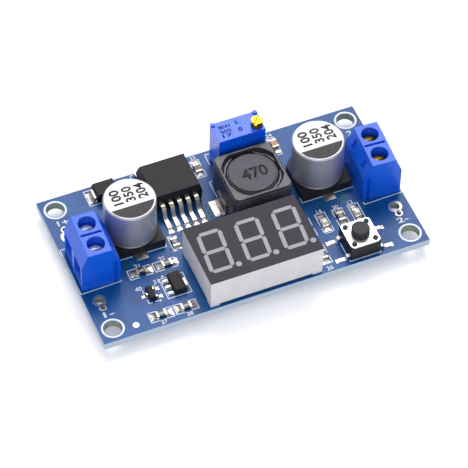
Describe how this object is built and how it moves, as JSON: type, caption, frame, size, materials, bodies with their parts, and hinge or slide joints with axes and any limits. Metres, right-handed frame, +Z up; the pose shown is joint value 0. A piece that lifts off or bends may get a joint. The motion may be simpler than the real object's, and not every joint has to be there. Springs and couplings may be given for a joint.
{
  "type": "buck converter module",
  "caption": "Blue step-down converter board with terminal blocks at both ends, can capacitors, shielded inductor, trimmer, push button and three-digit display.",
  "frame": {"origin": "centre of the four mounting holes, at the board's underside", "axes": "+Z up out of the component side, +X towards the output terminal block, -Y towards the display"},
  "size_m": [0.0662, 0.036, 0.0149],
  "materials": {
    "board_mask": "blue solder mask over glass fibre laminate",
    "tinned_metal": "bright tin plating",
    "block_blue": "moulded blue nylon",
    "contact_brass": "plated brass",
    "screw_steel": "nickel plated",
    "screw_yellow": "yellow passivated",
    "can_aluminium": "satin drawn aluminium, printed top",
    "base_black": "black moulded plastic",
    "package_black": "matt moulded epoxy",
    "ferrite": "ground ferrite",
    "copper_wire": "enamelled copper",
    "trimmer_blue": "moulded blue plastic",
    "trimmer_brass": "turned brass",
    "display_white": "moulded pale grey plastic",
    "display_black": "printed black face",
    "display_window": "frosted epoxy",
    "carrier_tan": "glass fibre and epoxy",
    "plunger_black": "moulded plastic",
    "resistor_black": "glazed film on ceramic with tinned ends",
    "capacitor_brown": "ceramic with tinned ends",
    "capacitor_tan": "ceramic with tinned ends",
    "lamp_clear": "clear epoxy on a white base"
  },
  "bodies": {
    "board": {"circuit_board": "board_mask", "solder_joints": "tinned_metal", "input_block_housing": "block_blue", "input_block_contacts": "contact_brass", "output_block_housing": "block_blue", "output_block_contacts": "contact_brass", "input_capacitor_can": "can_aluminium", "input_capacitor_base": "base_black", "input_capacitor_leads": "tinned_metal", "output_capacitor_can": "can_aluminium", "output_capacitor_base": "base_black", "output_capacitor_leads": "tinned_metal", "regulator_body": "package_black", "regulator_tab": "tinned_metal", "regulator_leads": "tinned_metal", "inductor_core": "ferrite", "inductor_shield": "ferrite", "inductor_winding": "copper_wire", "inductor_terminals": "tinned_metal", "trimmer_housing": "trimmer_blue", "trimmer_pins": "tinned_metal", "display_housing": "display_white", "display_face": "display_black", "display_segments": "display_window", "display_carrier": "carrier_tan", "display_pins": "tinned_metal", "button_base": "base_black", "button_cover": "screw_steel", "button_dome": "screw_steel", "button_leads": "tinned_metal", "diode_body": "package_black", "diode_leads": "tinned_metal", "supply_chip_body": "package_black", "supply_chip_leads": "tinned_metal", "transistor_body": "package_black", "transistor_leads": "tinned_metal", "controller_body": "package_black", "controller_leads": "tinned_metal", "resistor_1": "resistor_black", "resistor_2": "resistor_black", "resistor_3": "resistor_black", "resistor_6": "resistor_black", "resistor_7": "resistor_black", "resistor_8": "resistor_black", "resistor_10": "resistor_black", "capacitor_3": "capacitor_brown", "capacitor_4": "capacitor_tan", "input_lamp": "lamp_clear", "output_lamp": "lamp_clear"},
    "input_plus_clamp": {"input_plus_clamp": "tinned_metal"},
    "input_minus_clamp": {"input_minus_clamp": "tinned_metal"},
    "output_plus_clamp": {"output_plus_clamp": "tinned_metal"},
    "output_minus_clamp": {"output_minus_clamp": "tinned_metal"},
    "input_plus_screw": {"input_plus_screw": "screw_steel"},
    "input_minus_screw": {"input_minus_screw": "screw_steel"},
    "output_plus_screw": {"output_plus_screw": "screw_yellow"},
    "output_minus_screw": {"output_minus_screw": "screw_yellow"},
    "trimmer_screw": {"trimmer_screw": "trimmer_brass"},
    "button": {"button_plunger": "plunger_black"}
  },
  "joints": [
    {"name": "input_plus_clamp_slide", "type": "slide", "parent": "board", "child": "input_plus_clamp", "axis": [0, 0, -1], "range_m": [0, 0.00195]},
    {"name": "input_plus_screw_turn", "type": "hinge", "parent": "input_plus_clamp", "child": "input_plus_screw", "pos_m": [-0.02841, 0.00244, 0.0086], "axis": [0, 0, -1], "range_deg": [0, 1560]},
    {"name": "input_minus_clamp_slide", "type": "slide", "parent": "board", "child": "input_minus_clamp", "axis": [0, 0, -1], "range_m": [0, 0.00195]},
    {"name": "input_minus_screw_turn", "type": "hinge", "parent": "input_minus_clamp", "child": "input_minus_screw", "pos_m": [-0.02859, -0.00264, 0.0086], "axis": [0, 0, -1], "range_deg": [0, 1560]},
    {"name": "output_plus_clamp_slide", "type": "slide", "parent": "board", "child": "output_plus_clamp", "axis": [0, 0, -1], "range_m": [0, 0.00195]},
    {"name": "output_plus_screw_turn", "type": "hinge", "parent": "output_plus_clamp", "child": "output_plus_screw", "pos_m": [0.0293, 0.00265, 0.0086], "axis": [0, 0, -1], "range_deg": [0, 1560]},
    {"name": "output_minus_clamp_slide", "type": "slide", "parent": "board", "child": "output_minus_clamp", "axis": [0, 0, -1], "range_m": [0, 0.00195]},
    {"name": "output_minus_screw_turn", "type": "hinge", "parent": "output_minus_clamp", "child": "output_minus_screw", "pos_m": [0.029, -0.00242, 0.0086], "axis": [0, 0, -1], "range_deg": [0, 1560]},
    {"name": "trimmer_screw_turn", "type": "hinge", "parent": "board", "child": "trimmer_screw", "pos_m": [0.01017, 0.01267, 0.0116], "axis": [0, 0, 1], "continuous": true},
    {"name": "button_press", "type": "slide", "parent": "board", "child": "button", "axis": [0, 0, -1], "range_m": [0, 0.00025], "stiffness_N_per_m": 1600, "springref_m": -0.0001, "deforming": ["button_dome"]}
  ],
  "couplings": [
    {"joint": "input_plus_screw_turn", "follows": "input_plus_clamp_slide", "rad_per_m": 13963},
    {"joint": "input_minus_screw_turn", "follows": "input_minus_clamp_slide", "rad_per_m": 13963},
    {"joint": "output_plus_screw_turn", "follows": "output_plus_clamp_slide", "rad_per_m": 13963},
    {"joint": "output_minus_screw_turn", "follows": "output_minus_clamp_slide", "rad_per_m": 13963}
  ]
}
